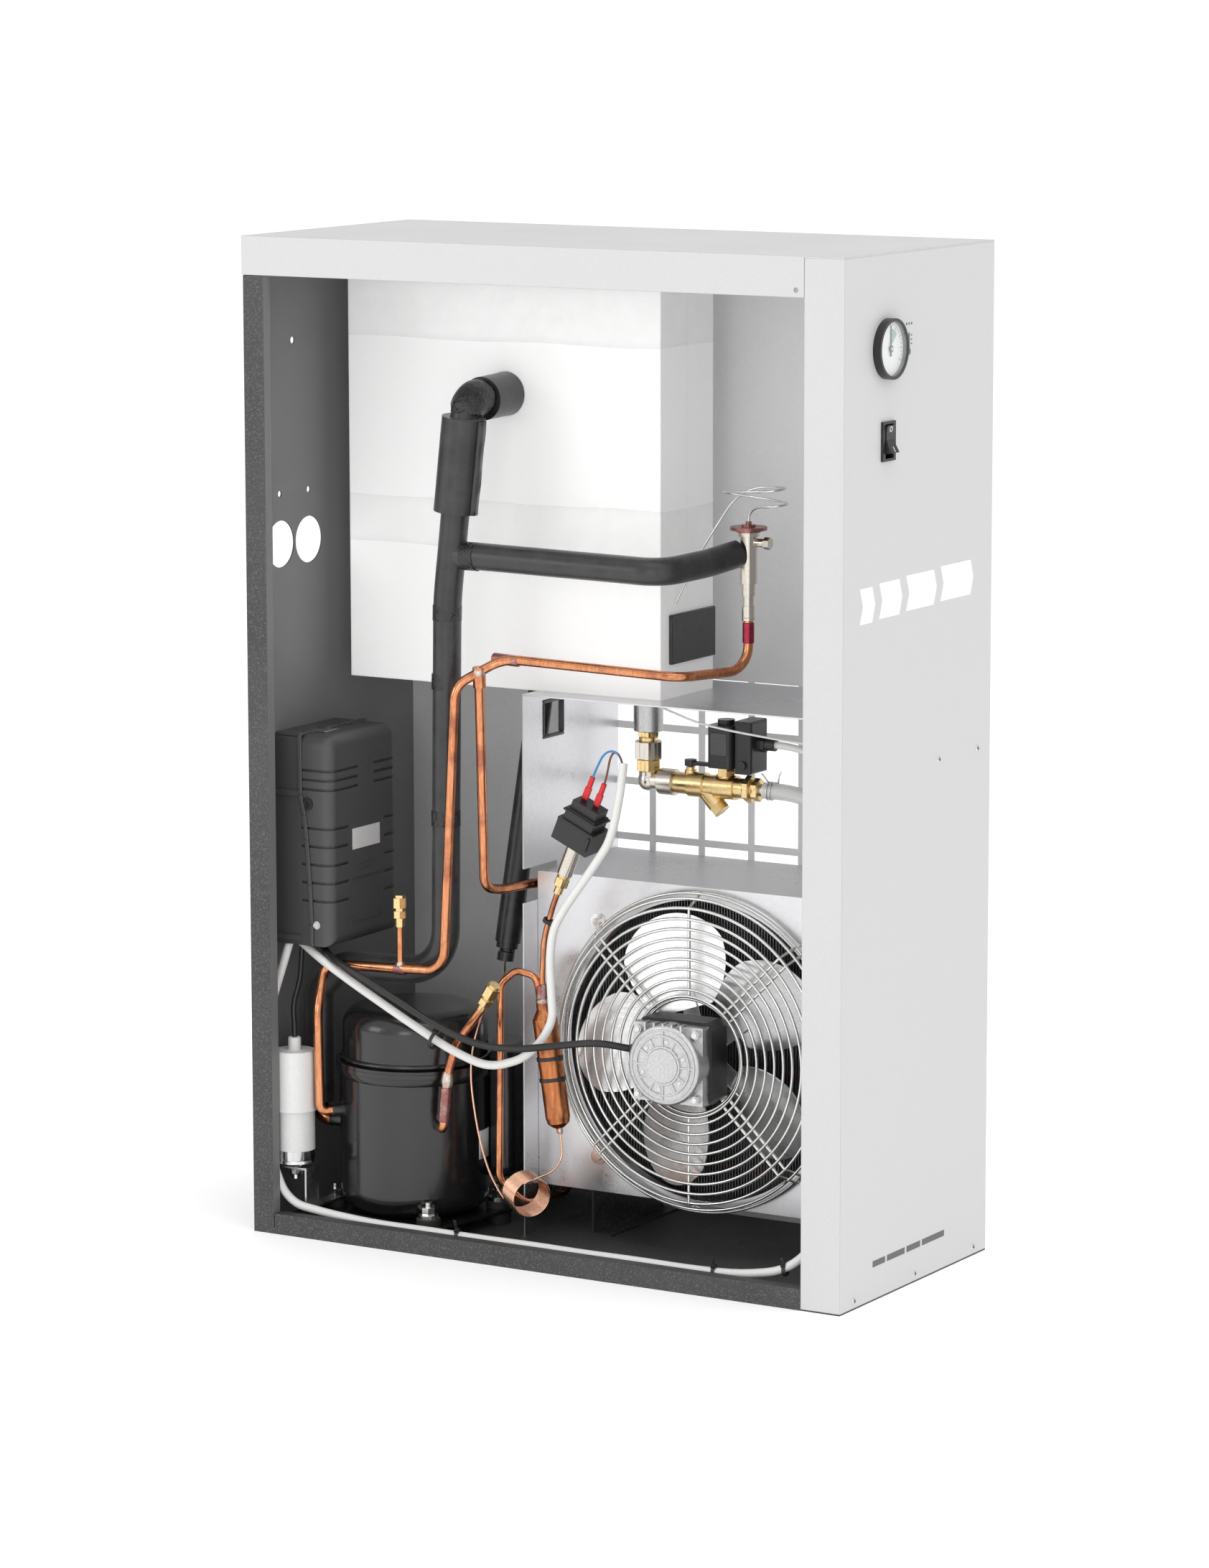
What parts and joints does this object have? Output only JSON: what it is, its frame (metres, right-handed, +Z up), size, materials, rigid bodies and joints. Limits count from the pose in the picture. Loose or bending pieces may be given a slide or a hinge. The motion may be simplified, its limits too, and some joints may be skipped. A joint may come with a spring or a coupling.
{
  "type": "refrigerated air dryer",
  "caption": "Upright cabinet of a refrigerated compressed-air dryer, service side open: compressor, insulated heat exchanger, fan-cooled condenser, drain valve and wiring.",
  "frame": {"origin": "centre of the base pan's underside, on the floor", "axes": "+Z up, +X towards the control panel, -Y towards the open service side"},
  "size_m": [0.7151, 0.311, 0.994],
  "materials": {
    "pan_metal": "fine textured powder coat",
    "post_metal": "fine textured powder coat",
    "panel_metal": "smooth light powder coat",
    "zinc_sheet": "galvanised",
    "zinc_wire": "zinc plated",
    "screw_steel": "zinc plated",
    "foam_white": "expanded foam",
    "foam_black": "soft closed-cell foam",
    "exchanger_alu": "brazed",
    "pipe_steel": "threaded",
    "shell_black": "gloss black",
    "pump_iron": "machined",
    "rubber_black": "matte",
    "cover_black": "gloss",
    "copper": "drawn copper",
    "brass": "machined brass",
    "fin_alu": "finned",
    "blade_alu": "pressed",
    "motor_alu": "die cast",
    "stator_black": "varnished",
    "box_black": "moulded",
    "coil_black": "moulded",
    "hose_clear": "translucent",
    "cable_white": "satin",
    "cable_black": "satin",
    "cap_white": "satin",
    "gauge_black": "satin",
    "dial_white": "printed",
    "glass": "clear",
    "nickel": "nickel plated"
  },
  "bodies": {
    "cabinet": {"base_pan": "pan_metal", "rear_panel": "post_metal", "top_cover": "panel_metal", "front_panel": "panel_metal", "side_panel": "zinc_sheet", "cabinet_screws": "screw_steel", "divider_plate": "zinc_sheet", "exchanger_shelf": "zinc_sheet", "insulation_front": "foam_white", "insulation_rear": "foam_white", "exchanger_core": "exchanger_alu", "air_pipes": "pipe_steel", "compressor_shell": "shell_black", "compressor_lid": "shell_black", "compressor_pump": "pump_iron", "compressor_grommets": "rubber_black", "compressor_bolts": "screw_steel", "terminal_cover": "cover_black", "capacitor": "cap_white", "capacitor_bracket": "zinc_sheet", "suction_pipe": "copper", "suction_insulation": "foam_black", "hot_gas_pipe": "copper", "hot_gas_valve_body": "brass", "hot_gas_valve_head": "copper", "sensing_tubes": "copper", "filter_drier": "copper", "liquid_pipe": "copper", "capillary_tube": "copper", "capillary_sleeve": "foam_black", "service_valves": "brass", "service_stubs": "copper", "pressure_switch_fitting": "brass", "pressure_switch_body": "box_black", "condenser_core": "fin_alu", "condenser_tubes": "copper", "fan_shroud": "zinc_sheet", "fan_guard": "zinc_wire", "fan_motor_stator": "stator_black", "fan_motor_case": "motor_alu", "drain_fittings": "nickel", "drain_valve_body": "brass", "solenoid_coil": "coil_black", "drain_timer": "coil_black", "drain_hose": "hose_clear", "gauge_case": "gauge_black", "gauge_dial": "dial_white", "gauge_glass": "glass", "switch_housing": "gauge_black", "electric_box": "box_black", "electric_box_cover": "box_black", "switch_cable": "cable_white", "fan_cable": "cable_black", "floor_cables": "cable_white"},
    "fan": {"fan_rotor": "screw_steel", "fan_blades": "blade_alu"},
    "rocker": {"switch_rocker": "gauge_black"},
    "pointer": {"gauge_pointer": "gauge_black"},
    "lever": {"drain_lever": "brass"},
    "plunger": {"solenoid_plunger": "screw_steel"}
  },
  "joints": [
    {"name": "fan_spin", "type": "hinge", "parent": "cabinet", "child": "fan", "pos_m": [0.103, -0.02, 0.204], "axis": [0, 1, 0], "continuous": true},
    {"name": "rocker_tilt", "type": "hinge", "parent": "cabinet", "child": "rocker", "pos_m": [0.327, -0.066, 0.819], "axis": [0, 1, 0], "range_deg": [0, 20]},
    {"name": "pointer_turn", "type": "hinge", "parent": "cabinet", "child": "pointer", "pos_m": [0.337, -0.067, 0.905], "axis": [1, 0, 0], "range_deg": [-120, 120], "stiffness_Nm_per_rad": 0.001},
    {"name": "drain_cock", "type": "hinge", "parent": "cabinet", "child": "lever", "pos_m": [0.067, 0.03, 0.478], "axis": [0, 0, 1], "range_deg": [-90, 0]},
    {"name": "plunger_lift", "type": "slide", "parent": "cabinet", "child": "plunger", "axis": [0, 0, 1], "range_m": [0, 0.0015], "stiffness_N_per_m": 800, "springref_m": -0.003}
  ]
}
